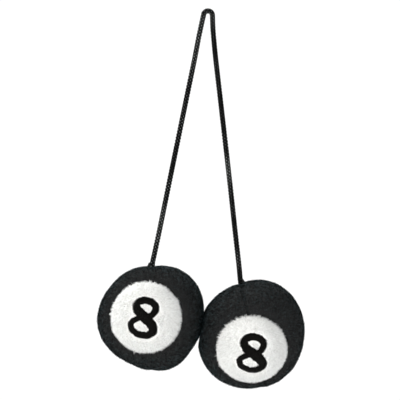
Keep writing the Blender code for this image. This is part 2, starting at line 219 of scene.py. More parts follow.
# Pile: fibres a square metre, their size, the range of their lengths, how they lean from the skin's
# normal, how much their lean and their nap stray, how they gather in tufts of so many fibres, and the
# share of each shade from deep to pale.
Pile = namedtuple(
    "Pile", "density length width lengths lean lean_stray nap_stray tuft pull sway ragged shares"
)
BLACK_PILE = Pile(
    density=9.0e6,
    length=0.0015,
    width=0.00011,
    lengths=(0.7, 1.15),
    lean=math.radians(52.0),
    lean_stray=0.17,
    nap_stray=0.45,
    tuft=11,
    pull=0.45,
    sway=0.00016,
    ragged=0.1,
    shares=(0.5, 0.35, 0.15),
)
WHITE_PILE = Pile(
    density=15.0e6,
    length=0.0021,
    width=0.00013,
    lengths=(0.75, 1.2),
    lean=math.radians(47.0),
    lean_stray=0.16,
    nap_stray=0.28,
    tuft=15,
    pull=0.6,
    sway=0.0002,
    ragged=0.18,
    shares=(0.18, 0.45, 0.37),
)
FIBRE_THICKNESS = (0.75, 1.25)  # the range of the fibres' widths, for the pile's
TUFT_SHADE_SHARE = 0.65  # of the fibres have the shade of their tuft
BLACK_FALL = 0.6  # how strongly the black nap hangs down, for its swirl round the patch
CREASE_WIDTH = 0.0046  # of the crease in the black pile round the patch, darkened there with painted shade
CREASE_UPRIGHT, CREASE_SHORTER = 0.6, 0.2  # how much less the black pile leans there, and its length
COMB_OUTWARDS, COMB_DOWN = 1.3, 0.55  # the white nap's pull towards the rim, and downwards
RIM_START = 0.86  # the share of the patch's radius where its rim starts
RIM_LEAN = math.radians(64.0)  # of the white pile where it reaches over the seam
RIM_LONGER = 0.2
RIM_RAGGED = 0.2  # how much more ragged the white pile is at its upper left rim
RIM_LEVEL, RIM_SLOPE, RIM_LEFT = 0.2, 2.0, 0.6  # how that grows up the rim, and towards its left
RIM_LEAST = -0.6
RIM_PAINTED_SHADE = 0.7  # the share of the white pile's deepest shade painted as shade at the top of its rim
STRAY_PULL, STRAY_SPREAD = 0.95, 0.25  # how far a stray tuft is drawn out, and its width at the tip
PRESSED_WIDTH = 0.0012  # how far beside the numeral its threads press the white pile down
PRESSED_SHARE = 0.65  # how much shorter that makes it
BLACK_SHEEN = (0.25, 0.85, 0.95)  # the tint of the black fibres' sheen

# Numeral: its centre line in the patch's plane, in millimetres, with the stroke's width there
NUMERAL_LINE = (
    (0.8, 12.4, 5.2),
    (5.8, 10.9, 5.0),
    (8.5, 7.4, 4.9),
    (7.4, 3.6, 4.6),
    (4.2, 1.0, 4.2),
    (0.2, 0.2, 3.8),
    (-4.2, -0.8, 3.8),
    (-8.0, -2.8, 4.2),
    (-9.0, -6.0, 4.8),
    (-6.6, -9.9, 5.2),
    (-1.2, -12.3, 5.4),
    (4.2, -11.9, 5.8),
    (6.9, -8.4, 6.4),
    (5.3, -4.4, 6.8),
    (2.2, -0.8, 7.0),
    (-1.6, 2.8, 6.8),
    (-4.6, 6.2, 6.4),
    (-4.9, 9.2, 6.0),
    (-2.8, 11.5, 5.5),
)
NUMERAL_DENSITY = 16  # points on the line for each of these
THREAD_PITCH = 0.00034
THREAD_RADIUS = 0.00022
THREAD_HEIGHT = 0.0011  # at the middle of a stroke
THREAD_SINK = 0.0003  # how far the threads' ends lie below the patch's ground
THREAD_UNEVENNESS = 0.00004
THREAD_SKEW = 0.0003
THREAD_SIDES, THREAD_STEPS = 5, 7
THREAD_WANDER = 6  # threads over which a stroke's edge wanders
EDGE_WANDER, EDGE_ROUGHNESS = 0.00014, 0.00014
CROSSING_RISE, CROSSING_WIDTH = 0.0005, 0.0035  # where the wide stroke passes over the narrow one
OVER_STROKE = 0.0045  # the stroke passes over where it is wider than this
UNDERLAY_SHARE = 0.88  # of the stroke's width
UNDERLAY_HEIGHT = 0.0008
UNDERLAY_STEPS = 9
PILE_UNDER_THREAD = 0.0001  # how far the pile's roots reach in under its edge

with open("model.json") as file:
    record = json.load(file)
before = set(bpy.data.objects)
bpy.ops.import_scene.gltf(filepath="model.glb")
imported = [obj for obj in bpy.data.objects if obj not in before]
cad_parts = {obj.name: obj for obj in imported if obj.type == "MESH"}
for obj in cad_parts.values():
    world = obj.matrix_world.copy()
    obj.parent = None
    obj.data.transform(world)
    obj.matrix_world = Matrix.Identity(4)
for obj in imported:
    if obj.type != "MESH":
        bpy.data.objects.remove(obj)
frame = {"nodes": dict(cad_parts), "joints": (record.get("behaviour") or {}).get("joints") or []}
cad_low, cad_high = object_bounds()

Ball = namedtuple("Ball", "side name body centre pole across out right up towards reach")
BACK = np.array([0.0, 1.0, 0.0])  # away from the camera


# ---------------------------------------------------------------- places


def placed(name, data):
    """A new object in the scene, with its mesh, light or camera."""
    obj = bpy.data.objects.new(name, data)
    bpy.context.scene.collection.objects.link(obj)
    return obj


def joint_named(name):
    """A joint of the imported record."""
    return next(joint for joint in frame["joints"] if joint["name"] == name)


def smooth_line(points, density, closed=False):
    """A dense Catmull-Rom curve through points, as an array."""
    places = np.array(points, float)
    if closed:
        ends = np.vstack([places[-1], places, places[:2]])
    else:
        first = 2 * places[0] - places[1]
        last = 2 * places[-1] - places[-2]
        ends = np.vstack([first, places, last])
    t = (np.arange(density) / density)[:, None]
    dense = []
    for before, start, end, after in zip(ends, ends[1:], ends[2:], ends[3:]):
        linear = (end - before) * t
        square = (2 * before - 5 * start + 4 * end - after) * t**2
        cube = (3 * start - before - 3 * end + after) * t**3
        dense.append(0.5 * (2 * start + linear + square + cube))
    if not closed:
        dense.append(places[-1:])
    return np.vstack(dense)


def lengths_along(line):
    """How far along a line each of its points is."""
    steps = np.linalg.norm(np.diff(line, axis=0), axis=1)
    return np.concatenate([[0.0], np.cumsum(steps)])


def at_lengths(line, wanted, along=None):
    """The points of a line at the wanted distances from its start."""
    along = lengths_along(line) if along is None else along
    return np.stack([np.interp(wanted, along, column) for column in line.T], axis=1)


def full_turn(count):
    """Angles spaced evenly round a circle."""
    return np.linspace(0, 2 * math.pi, count, endpoint=False)


def unit(vectors, least=0.0):
    """Vectors scaled to a length of one, apart from those shorter than the least length."""
    return vectors / np.maximum(np.linalg.norm(vectors, axis=-1, keepdims=True), least)


def pole_and_centre(side):
    """A ball's own axis, and its centre, which lies one ground radius below its twist joint."""
    twist = joint_named(f"{side.name}_twist")
    pole = unit(np.array(twist["axis"], float))
    return pole, np.array(twist["pos_m"], float) - pole * GROUND_RADIUS


def ball_of(side, other):
    """A ball's centre and axes, from its twist joint, its patch node and the other ball's centre."""
    pole, centre = pole_and_centre(side)
    patch = frame["nodes"][f"{side.name}_face_patch"].data
    middle = np.mean([v.co for v in patch.vertices], axis=0)
    out = unit(middle - centre)
    right = unit(np.cross(out, [0.0, 0.0, 1.0])) * -1.0
    up = np.cross(out, right)
    between = pole_and_centre(other)[1] - centre
    return Ball(
        side=side,
        name=side.name,
        body=f"{side.name}_ball",
        centre=centre,
        pole=pole,
        across=np.cross(BACK, pole),
        out=out,
        right=right,
        up=up,
        towards=unit(between),
        reach=np.linalg.norm(between) / 2,
    )


# ---------------------------------------------------------------- materials


def new_material(name):
    """A material with one Principled shader, as its node tree and that shader."""
    material = bpy.data.materials.new(name)
    material.use_nodes = True
    tree = material.node_tree
    return material, tree, tree.nodes["Principled BSDF"]


def set_values(node, **values):
    """Sets a node's sockets by name, with _ for a space."""
    for name, value in values.items():
        node.inputs[name.replace("_", " ")].default_value = value


def object_place(tree):
    """The socket with the place on the object."""
    return tree.nodes.new("ShaderNodeTexCoord").outputs["Object"]


def noise(tree, scale, detail=3.0, roughness=0.55):
    """A noise texture's factor."""
    node = tree.nodes.new("ShaderNodeTexNoise")
    set_values(node, Scale=scale, Detail=detail, Roughness=roughness)
    tree.links.new(object_place(tree), node.inputs["Vector"])
    return node.outputs["Fac"]


def maths(tree, operation, first, second=0.0):
    """A maths node's result. Each input is a socket or a number."""
    node = tree.nodes.new("ShaderNodeMath")
    node.operation = operation
    for socket, value in zip(node.inputs, (first, second)):
        if isinstance(value, bpy.types.NodeSocket):
            tree.links.new(value, socket)
        else:
            socket.default_value = value
    return node.outputs[0]


def paint(tree, shader, factor, *stops):
    """Colours a shader by a ramp. Each stop is a position and a colour."""
    node = tree.nodes.new("ShaderNodeValToRGB")
    elements = node.color_ramp.elements
    while len(elements) < len(stops):
        elements.new(1.0)
    for element, (position, colour) in zip(elements, stops):
        element.position = position
        element.color = (*colour, 1.0)
    tree.links.new(factor, node.inputs["Fac"])
    tree.links.new(node.outputs["Color"], shader.inputs["Base Color"])


def spread(tree, factor, low, high):
    """A factor mapped to the range from low to high."""
    node = tree.nodes.new("ShaderNodeMapRange")
    set_values(node, To_Min=low, To_Max=high)
    tree.links.new(factor, node.inputs["Value"])
    return node.outputs["Result"]


def add_bump(tree, shader, height, strength, distance):
    """Bumps on a shader's surface."""
    node = tree.nodes.new("ShaderNodeBump")
    set_values(node, Strength=strength, Distance=distance)
    tree.links.new(height, node.inputs["Height"])
    tree.links.new(node.outputs["Normal"], shader.inputs["Normal"])


def grey(level):
    """A neutral colour."""
    return (level, level, level)


def knitted_ground(name, dark, light, sheen):
    """The knitted ground of plush: fine ribs and a cloudy colour."""
    material, tree, shader = new_material(name)
    clouds = noise(tree, 260.0, detail=6.0, roughness=0.7)
    paint(tree, shader, clouds, (0.3, dark), (0.75, light))
    set_values(shader, Roughness=0.9, Sheen_Weight=sheen, Sheen_Roughness=0.4)
    add_bump(tree, shader, noise(tree, 1500.0, detail=2.0), 0.6, 0.0002)
    return material


def fibre_shade(name, colour, sheen, tint, gloss):
    """One shade of pile fibre, whose gloss changes from clump to clump.

    The shader's own gloss is their mean, which is what is left where a link is lost.
    """
    material, tree, shader = new_material(name)
    set_values(shader, Base_Color=(*colour, 1.0), Roughness=0.65, Specular_IOR_Level=gloss / 2)
    set_values(shader, Sheen_Weight=sheen, Sheen_Roughness=0.35, Sheen_Tint=(*tint, 1.0))
    clumps = noise(tree, 220.0)
    tree.links.new(spread(tree, clumps, 0.0, gloss), shader.inputs["Specular IOR Level"])
    return material


def thread_finish():
    """Glossy black embroidery thread, with the fine twist of its plies."""
    material, tree, shader = new_material("embroidery_thread")
    clouds = noise(tree, 900.0, detail=4.0)
    paint(tree, shader, clouds, (0.3, (0.0008, 0.0007, 0.0006)), (0.8, (0.0040, 0.0036, 0.0028)))
    set_values(shader, Roughness=0.4, Specular_IOR_Level=0.04)
    add_bump(tree, shader, noise(tree, 4200.0, detail=2.0), 0.5, 0.00008)
    return material


def strand_place(tree, sign):
    """Where a point is across one set of the braid's strands, counted in strands."""
    coordinates = tree.nodes.new("ShaderNodeUVMap")
    coordinates.uv_map = "braid"
    parts = tree.nodes.new("ShaderNodeSeparateXYZ")
    tree.links.new(coordinates.outputs["UV"], parts.inputs[0])
    along = maths(tree, "MULTIPLY", parts.outputs["Y"], sign)
    return maths(tree, "ADD", parts.outputs["X"], along)


def braid_finish():
    """Black polyester cord: filaments along each strand, with painted shade in the gaps between
    strands and painted grey glints on the strands' crowns.
    """
    material, tree, shader = new_material("braided_cord")
    one = strand_place(tree, 1.0)
    two = strand_place(tree, -1.0)
    cells = maths(tree, "ADD", maths(tree, "FLOOR", one), maths(tree, "FLOOR", two))
    on_top = maths(tree, "PINGPONG", cells, 1.0)
    picked = tree.nodes.new("ShaderNodeMix")
    tree.links.new(on_top, picked.inputs["Factor"])
    tree.links.new(one, picked.inputs["A"])
    tree.links.new(two, picked.inputs["B"])
    across = picked.outputs["Result"]
    filaments = maths(tree, "PINGPONG", maths(tree, "MULTIPLY", across, 7.0), 0.5)
    humps = [maths(tree, "PINGPONG", strand, 0.5) for strand in (one, two)]
    crown = maths(tree, "MULTIPLY", *humps)
    painted_glint_zones = spread(tree, noise(tree, 42.0, detail=2.0), 0.1, 0.9)
    shade = maths(tree, "MULTIPLY", maths(tree, "MULTIPLY", crown, 4.0), painted_glint_zones)
    # painted light in the cord's colour: near black in the gaps between strands as painted shade, grey
    # on the crowns as painted glints
    stops = (0.20, grey(0.0002)), (0.34, (0.008, 0.009, 0.009)), (0.50, (0.360, 0.375, 0.370))
    paint(tree, shader, shade, *stops)
    tree.links.new(spread(tree, filaments, 0.55, 0.35), shader.inputs["Roughness"])
    set_values(shader, Specular_IOR_Level=0.04)
    add_bump(tree, shader, filaments, 0.6, 0.00008)
    return material


def cord_end_finish():
    """The same cord where it is hidden in the balls: dull, with slanting strands."""
    material, tree, shader = new_material("cord_end")
    strands = tree.nodes.new("ShaderNodeTexWave")
    strands.bands_direction = "DIAGONAL"
    set_values(strands, Scale=260.0, Distortion=2.0, Detail=2.0)
    tree.links.new(object_place(tree), strands.inputs["Vector"])
    paint(tree, shader, strands.outputs["Fac"], (0.1, grey(0.0012)), (0.9, grey(0.020)))
    set_values(shader, Roughness=0.5, Specular_IOR_Level=0.1)
    add_bump(tree, shader, strands.outputs["Fac"], 0.7, 0.0003)
    return material


def stuffing_finish():
    """Loose white polyester fibre."""
    material, tree, shader = new_material("polyester_fibre")
    wisps = noise(tree, 420.0, detail=8.0, roughness=0.75)
    paint(tree, shader, wisps, (0.25, (0.55, 0.56, 0.57)), (0.7, (0.86, 0.86, 0.85)))
    set_values(shader, Roughness=0.95, Sheen_Weight=0.4)
    add_bump(tree, shader, wisps, 0.8, 0.0006)
    return material


def backing_finish():
    """White non-woven backing, with its pressed dots."""
    material, tree, shader = new_material("nonwoven_backing")
    dots = tree.nodes.new("ShaderNodeTexVoronoi")
    set_values(dots, Scale=1100.0)
    tree.links.new(object_place(tree), dots.inputs["Vector"])
    felt = noise(tree, 700.0, detail=5.0)
    paint(tree, shader, felt, (0.3, (0.62, 0.62, 0.60)), (0.7, (0.82, 0.82, 0.80)))
    set_values(shader, Roughness=0.8)
    add_bump(tree, shader, dots.outputs["Distance"], 0.5, 0.0002)
    return material


def floor_finish():
    """A pale painted studio floor."""
    material, tree, shader = new_material("pale_floor")
    clouds = noise(tree, 1.4, detail=4.0)
    paint(tree, shader, clouds, (0.2, grey(0.90)), (0.8, grey(0.94)))
    set_values(shader, Roughness=0.75, Emission_Color=(1.0, 1.0, 1.0, 1.0), Emission_Strength=0.3)
    return material


def make_finishes():
    """Every material of the object, by name."""
    return {
        "black_ground": knitted_ground("black_ground", grey(0.001), grey(0.003), 0.0),
        "white_ground": knitted_ground("white_ground", (0.55, 0.54, 0.52), (0.84, 0.83, 0.81), 0.3),
        "black_pile": [
            fibre_shade("black_pile_deep", (0.0003, 0.0006, 0.0007), 0.0, BLACK_SHEEN, 0.04),
            fibre_shade("black_pile_mid", (0.0032, 0.0066, 0.0074), 0.03, BLACK_SHEEN, 0.42),
            fibre_shade("black_pile_pale", (0.0150, 0.0260, 0.0290), 0.06, BLACK_SHEEN, 0.7),
        ],
        "white_pile": [
            fibre_shade("white_pile_deep", (0.775, 0.775, 0.76), 0.1, grey(1.0), 0.2),
            fibre_shade("white_pile_mid", (0.885, 0.89, 0.87), 0.2, grey(1.0), 0.2),
            fibre_shade("white_pile_pale", (0.95, 0.955, 0.94), 0.3, grey(1.0), 0.2),
        ],
        "thread": thread_finish(),
        "braid": braid_finish(),
        "cord_end": cord_end_finish(),
        "stuffing": stuffing_finish(),
        "backing": backing_finish(),
    }


# ---------------------------------------------------------------- meshes


def new_object(name, vertices, faces, material):
    """A smooth mesh object in the row frame."""
    mesh = bpy.data.meshes.new(name)
    mesh.from_pydata([tuple(v) for v in vertices], [], [tuple(f) for f in faces])
    mesh.polygons.foreach_set("use_smooth", np.ones(len(mesh.polygons), bool))
    mesh.materials.append(material)
    return placed(name, mesh)


def fixed_size_mesh(name, vertices, faces, face_materials, materials):
    """An object from arrays, for many faces that have the same number of corners."""
    corners = faces.shape[1]
    mesh = bpy.data.meshes.new(name)
    mesh.vertices.add(len(vertices))
    mesh.vertices.foreach_set("co", vertices.astype(np.float32).ravel())
    mesh.loops.add(faces.size)
    mesh.loops.foreach_set("vertex_index", faces.astype(np.int32).ravel())
    mesh.polygons.add(len(faces))
    mesh.polygons.foreach_set("loop_start", np.arange(0, faces.size, corners, dtype=np.int32))
    mesh.polygons.foreach_set("use_smooth", np.ones(len(faces), bool))
    for material in materials:
        mesh.materials.append(material)
    mesh.polygons.foreach_set("material_index", face_materials.astype(np.int32))
    mesh.update(calc_edges=True)
    mesh.validate()
    return placed(name, mesh)


def grid_faces(rows, columns, wraps):
    """The quads of a grid of vertices, row by row, whose rows may close on themselves."""
    across = columns if wraps else columns - 1
    row, column = np.meshgrid(np.arange(rows - 1), np.arange(across), indexing="ij")
    start = row * columns
    following = (column + 1) % columns
    beyond = start + columns
    corners = (start + column, start + following, beyond + following, beyond + column)
    return np.stack(corners, axis=-1).reshape(-1, 4)


# ---------------------------------------------------------------- skin shape


def angles_from(directions, axis):
    """The angle between each direction and an axis."""
    return np.arccos(np.clip(directions @ axis, -1.0, 1.0))


def from_rim(ball, directions):
    """How far each direction lies outside the patch's rim, in metres on the skin."""
    return (angles_from(directions, ball.out) - ball.side.patch_half_angle) * ball.side.skin_radius


def from_seams(ball, directions):
    """How far each direction lies from the two great circles of seams, in metres on the skin."""
    polar = angles_from(directions, ball.pole)
    slow, quick = SEAM_WAVES
    wander = SEAM_WANDER * (np.sin(slow * polar) + np.sin(quick * polar + SEAM_SHIFT)) / 2
    sideways = (directions @ ball.across) * ball.side.skin_radius + wander
    backwards = (directions @ BACK) * ball.side.skin_radius - wander
    return np.abs(sideways), np.abs(backwards)


def bulged_radius(ball, directions):
    """The stuffed ball's radius in each direction, before its cover is drawn in at the seams."""
    radius = np.full(len(directions), ball.side.skin_radius)
    for bulge in ball.side.bulges:
        turn = math.radians(bulge.degrees)
        forward = math.radians(bulge.forward)
        flat = math.cos(forward)
        towards = np.array([math.cos(turn) * flat, -math.sin(forward), math.sin(turn) * flat])
        away = angles_from(directions, towards) / math.radians(bulge.width)
        radius += bulge.height * MM * np.exp(-(away**2))
    away = angles_from(directions, ball.pole) / EXIT_ANGLE
    return radius - EXIT_DEPTH * np.exp(-(away**2))


def pressed(ball, directions, radius):
    """Radii held back by the plane where this ball presses on the other one."""
    facing = directions @ ball.towards
    plane = (ball.reach - CONTACT_GAP) / np.maximum(facing, NEARLY_FACING)
    limit = np.where(facing > NEARLY_FACING, plane, np.inf)
    return -PRESS_SOFTNESS * np.logaddexp(-radius / PRESS_SOFTNESS, -limit / PRESS_SOFTNESS)


def simulate_cover(ball):
    """The cover blown up between its seams by the stuffing: unit directions, triangles and radii."""
    sphere = bmesh.new()
    bmesh.ops.create_icosphere(sphere, subdivisions=COVER_DIVISIONS, radius=1.0)
    mesh = bpy.data.meshes.new("cover_cage")
    sphere.to_mesh(mesh)
    sphere.free()
    directions = unit(np.array([v.co for v in mesh.vertices], float))
    triangles = np.array([p.vertices for p in mesh.polygons], int)
    start = bulged_radius(ball, directions)
    places = directions * start[:, None]
    mesh.vertices.foreach_set("co", places.astype(np.float32).ravel())
    cage = placed("cover_cage", mesh)
    rim = from_rim(ball, directions)
    seams = np.where(rim > 0, np.minimum(*from_seams(ball, directions)), np.inf)
    pole = angles_from(directions, ball.pole) * ball.side.skin_radius
    held = np.minimum(np.minimum(seams, np.abs(rim)), pole) < PIN_WIDTH
    pins = cage.vertex_groups.new(name="pins")
    pins.add([int(i) for i in np.flatnonzero(held)], 1.0, "REPLACE")
    cloth = cage.modifiers.new("cloth", "CLOTH")
    cloth.settings.quality = COVER_QUALITY
    cloth.settings.mass = COVER_VERTEX_MASS
    cloth.settings.tension_stiffness = COVER_STRETCH
    cloth.settings.compression_stiffness = COVER_STRETCH
    cloth.settings.shear_stiffness = COVER_SHEAR
    cloth.settings.bending_stiffness = COVER_BENDING
    cloth.settings.use_pressure = True
    cloth.settings.uniform_pressure_force = COVER_PRESSURE
    cloth.settings.vertex_group_mass = "pins"
    cloth.settings.effector_weights.gravity = 0.0
    cloth.collision_settings.use_collision = False
    for number in range(1, COVER_FRAMES + 1):
        bpy.context.scene.frame_set(number)
    shaped = cage.evaluated_get(bpy.context.evaluated_depsgraph_get()).to_mesh()
    moved = np.array([v.co for v in shaped.vertices], float)
    bpy.context.scene.frame_set(1)
    bpy.data.objects.remove(cage)
    rise = np.clip(np.linalg.norm(moved, axis=1) - start, 0.0, COVER_RISE)
    return directions, triangles, start + rise


class Skin:
    """The shape of one ball's cover: its radius in any direction from the centre."""

    def __init__(self, ball):
        self.ball = ball
        self.directions, self.triangles, self.radii = simulate_cover(ball)
        self.tree = BVHTree.FromPolygons(self.directions.tolist(), self.triangles.tolist())
        random = np.random.default_rng(SEED + len(ball.name))
        waves = unit(random.normal(size=(LUMP_WAVES, 3)))
        self.waves = waves * 2 * math.pi / random.uniform(*LUMP_LENGTHS, (LUMP_WAVES, 1))
        self.phases = random.uniform(0, 2 * math.pi, LUMP_WAVES)

    def cover_radius(self, directions):
        """The simulated cover's radius, smoothed over its triangles."""
        found = [self.tree.find_nearest(Vector(d)) for d in directions]
        corners = self.triangles[[hit[2] for hit in found]]
        places = np.array([hit[0] for hit in found], float)
        a, b, c = (self.directions[corners[:, i]] for i in range(3))
        whole = np.linalg.norm(np.cross(b - a, c - a), axis=1)
        opposite = ((b, c), (c, a), (a, b))
        crosses = [np.cross(one - places, two - places) for one, two in opposite]
        shares = np.linalg.norm(crosses, axis=2).T
        return (self.radii[corners] * shares).sum(axis=1) / whole

    def radius(self, directions):
        """The skin's radius, drawn in at its seams, at the patch's rim and round the cord."""
        turns = directions @ self.waves.T * self.ball.side.skin_radius + self.phases
        radius = self.cover_radius(directions) + LUMP_HEIGHT * np.sin(turns).mean(axis=1)
        rim = from_rim(self.ball, directions)
        pole = angles_from(directions, self.ball.pole)
        seam = sum(np.exp(-((away / SEAM_WIDTH) ** 2)) for away in from_seams(self.ball, directions))
        fading = np.clip(np.sin(pole) / SEAM_FADING, 0.0, 1.0)
        depth = self.ball.side.seam_depth * fading * np.minimum(seam, 1.0)
        radius -= np.where(rim > 0, depth, 0.0)
        radius -= RIM_DEPTH * np.exp(-np.abs(rim) / RIM_WIDTH)
        dimple = pole * self.ball.side.skin_radius / DIMPLE_WIDTH
        radius -= DIMPLE_DEPTH * np.exp(-(dimple**2))
        return pressed(self.ball, directions, radius)

    def places(self, directions, height=0.0):
        """Points on the skin, or at a height above it."""
        radius = self.radius(directions) + height
        return self.ball.centre + directions * radius[:, None]


def on_patch(ball, flat):
    """The directions of points in the patch's plane, laid onto the ball at their true distances."""
    turn = np.linalg.norm(flat, axis=1)[:, None] / ball.side.skin_radius
    heading = unit(flat, TINY)
    sideways = heading[:, :1] * ball.right + heading[:, 1:] * ball.up
    return ball.out * np.cos(turn) + sideways * np.sin(turn)


# ---------------------------------------------------------------- camera and stage


def add_camera():
    """A long lens level with the middle of the object, as the photographer had it."""
    camera = placed("camera", bpy.data.cameras.new("camera"))
    camera.data.sensor_width = SENSOR_WIDTH * 1000
    camera.data.lens = SENSOR_WIDTH * CAMERA_DISTANCE / VIEW_WIDTH * 1000
    aim = (cad_low + cad_high) / 2 + VIEW_OFFSET
    camera.location = (aim.x, -CAMERA_DISTANCE, aim.z)
    camera.rotation_euler = (math.pi / 2, 0.0, 0.0)
    camera.data.clip_end = 40.0
    bpy.context.scene.camera = camera


def add_floor():
    """A wide pale floor, well below the hanging balls."""
    disc = bmesh.new()
    bmesh.ops.create_circle(disc, cap_ends=True, radius=FLOOR_RADIUS, segments=FLOOR_SIDES)
    mesh = bpy.data.meshes.new("floor")
    disc.to_mesh(mesh)
    disc.free()
    mesh.materials.append(floor_finish())
    floor = placed("floor", mesh)
    floor.location.z = cad_low.z - FLOOR_DROP


def add_area_light(name, place, size, power, colour):
    """A soft box that faces the balls."""
    light = bpy.data.lights.new(name, "AREA")
    light.shape = "DISK"
    light.size = size
    light.energy = power
    light.color = colour
    lamp = placed(name, light)
    target = Vector(((cad_low.x + cad_high.x) / 2, 0.0, cad_low.z + GROUND_RADIUS))
    lamp.location = place
    lamp.rotation_euler = (target - place).to_track_quat("-Z", "Y").to_euler()


def add_lights():
    """Soft studio light, mostly from the upper left, in a white room."""
    add_area_light("key", Vector((-1.3, -1.75, 0.4)), 1.3, 33.5, (1.0, 0.995, 0.98))
    add_area_light("fill", Vector((0.8, -2.1, -0.2)), 1.6, 32.0, (0.96, 0.98, 1.0))
    add_area_light("top", Vector((-0.4, 0.6, 1.5)), 1.4, 42.0, (1.0, 1.0, 1.0))
    add_area_light("side", Vector((-1.5, 0.6, -0.25)), 1.0, 9.0, (0.95, 0.98, 1.0))
    world = bpy.data.worlds.new("white_room")
    bpy.context.scene.world = world
    world.use_nodes = True
    tree = world.node_tree
    background = tree.nodes["Background"]
    seen = tree.nodes.new("ShaderNodeLightPath").outputs["Is Camera Ray"]
    tree.links.new(spread(tree, seen, WORLD_LIGHT, WORLD_SEEN), background.inputs["Strength"])
    set_values(background, Color=(1.0, 1.0, 1.0, 1.0))


# ---------------------------------------------------------------- cord


def leg_line(ball):
    """A leg's centre line, from the top of the fold down into the ball."""
    turns = np.radians(FOLD_DEGREES)
    x = ball.side.outwards * FOLD_RADIUS * np.sin(turns)
    z = CORD_RADIUS - FOLD_RADIUS * (1.0 - np.cos(turns))
    fold = np.stack([x, np.zeros(len(turns)), z], axis=1)
    lead = fold[1] * np.array([-1.0, 1.0, 1.0])  # the other leg's, so that the top is level
    leg = np.array([(x, 0.0, z) for x, z in ROUTES[ball.name]])
    entry = [
        ball.centre + ball.pole * (GROUND_RADIUS + COLLAR_OUTSIDE),
        ball.centre + ball.pole * (GROUND_RADIUS - COLLAR_INSIDE),
    ]
    return smooth_line(np.vstack([lead, fold, leg, entry]), ROUTE_DENSITY)[ROUTE_DENSITY:]


def braid_height(around, along):
    """How far the braid's surface stands from its middle radius, from -1 to 1."""
    one = around + along
    two = around - along
    parity = (np.floor(one) + np.floor(two)) % 2
    first, second = one % 1.0 - 0.5, two % 1.0 - 0.5
    across = np.where(parity > 0.5, second, first)
    lengthways = np.where(parity > 0.5, first, second)
    rounded = np.cos(np.pi * across * STRAND_WIDTH) ** STRAND_ROUNDNESS
    dive = np.cos(np.pi * lengthways * STRAND_REACH) ** STRAND_DIVE
    return 2.0 * rounded * dive - 1.0


def add_braid(name, line, heading, begin, finish, finishes):
    """A stretch of braided cord between two distances along a leg's line, with closed ends.

    The braid runs on from the left leg into the right one, so its distances are negative on the left.
    """
    rings = max(4, round((finish - begin) / RING_STEP))
    along = np.linspace(begin, finish, rings + 1)
    centres = at_lengths(line, along)
    ahead = at_lengths(line, along + RING_STEP)
    behind = at_lengths(line, along - RING_STEP)
    sideways = heading * unit(np.cross(ahead - behind, BACK))
    if begin == 0.0:
        sideways[0] = (0.0, 0.0, 1.0)
    shares = np.linspace(0, 1, RING_SIDES, endpoint=False)
    travelled = heading * along[:, None]
    around = CARRIERS * (shares[None, :] + travelled / BRAID_TWIST) + BRAID_START
    crossed = CARRIERS * travelled / BRAID_PITCH
    radius = CORD_RADIUS + BRAID_SWELL + BRAID_DEPTH / 2 * braid_height(around, crossed)
    turns = 2 * math.pi * shares[None, :, None]
    spoke = np.cos(turns) * sideways[:, None, :] + np.sin(turns) * BACK
    vertices = (centres[:, None, :] + spoke * radius[:, :, None]).reshape(-1, 3)
    faces = closed_tube(rings + 1, RING_SIDES)
    cord = new_object(name, vertices, faces, finishes["braid"])
    orient(cord)
    add_braid_map(cord.data, around, crossed[:, 0])
    count = max(3, round((finish - begin) / PATH_STEP))
    path = at_lengths(line, np.linspace(begin, finish, count))
    return cord, path


def closed_tube(rings, sides):
    """The faces of a tube of rings of vertices, with a face over each end."""
    first = list(range(sides))
    last = [(rings - 1) * sides + i for i in first]
    return [*grid_faces(rings, sides, wraps=True).tolist(), first[::-1], last]


def add_braid_map(mesh, around, crossed):
    """A UV map with the strands counted around and along the cord."""
    coordinates = mesh.uv_layers.new(name="braid").data
    for polygon in mesh.polygons:
        columns = [v % RING_SIDES for v in polygon.vertices]
        wraps = len(columns) == 4 and max(columns) - min(columns) > 1
        for loop, vertex, column in zip(polygon.loop_indices, polygon.vertices, columns):
            row = vertex // RING_SIDES
            whole_turn = CARRIERS if wraps and column == 0 else 0
            coordinates[loop].uv = (around[row, column] + whole_turn, crossed[row])


def orient(obj):
    """Turns every face of a closed mesh outwards."""
    shape = bmesh.new()
    shape.from_mesh(obj.data)
    bmesh.ops.recalc_face_normals(shape, faces=shape.faces)
    shape.to_mesh(obj.data)
    shape.free()


def add_cord(ball, finishes):
    """One leg of the cord, as stretches that each hold one joint's pivot."""
    side = ball.name
    line = leg_line(ball)
    along = lengths_along(line)
    pivots = {}
    for joint in ("swing", "spread", "tilt", "nod"):
        place = np.array(joint_named(f"{side}_{joint}")["pos_m"])
        pivots[joint] = along[np.argmin(np.linalg.norm(line - place, axis=1))]
    half_link = (pivots["spread"] - pivots["swing"]) / 2
    middle = (pivots["spread"] + pivots["tilt"]) / 2
    ends = (0.0, pivots["swing"] + half_link, middle, pivots["tilt"] + half_link, along[-1])
    replaced = {
        "fold": ["cord_bow"],
        "fall": [f"cord_{side}_shoulder"],
        "foot": [f"cord_{side}_leg"],
        "end": [f"cord_{side}_neck", f"cord_{side}_collar"],
    }
    made = {}
    for index, (part, joint) in enumerate(zip(replaced, pivots)):
        begin, finish = ends[index : index + 2]
        name = f"cord_{side}_{part}"
        cord, path = add_braid(name, line, ball.side.outwards, begin, finish, finishes)
        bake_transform(cord)
        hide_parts(*replaced[part])
        made[part] = (cord, path, finish - begin)
    for part, piece in (("fall", "fold"), ("foot", "end")):
        cord, path, length = made[part]


# ---------------------------------------------------------------- pile


def mesh_values(collection, attribute, width, kind):
    """One attribute of all of a mesh's elements, as an array of rows."""
    values = np.empty(len(collection) * width, kind)
    collection.foreach_get(attribute, values)
    return values.reshape(-1, width)


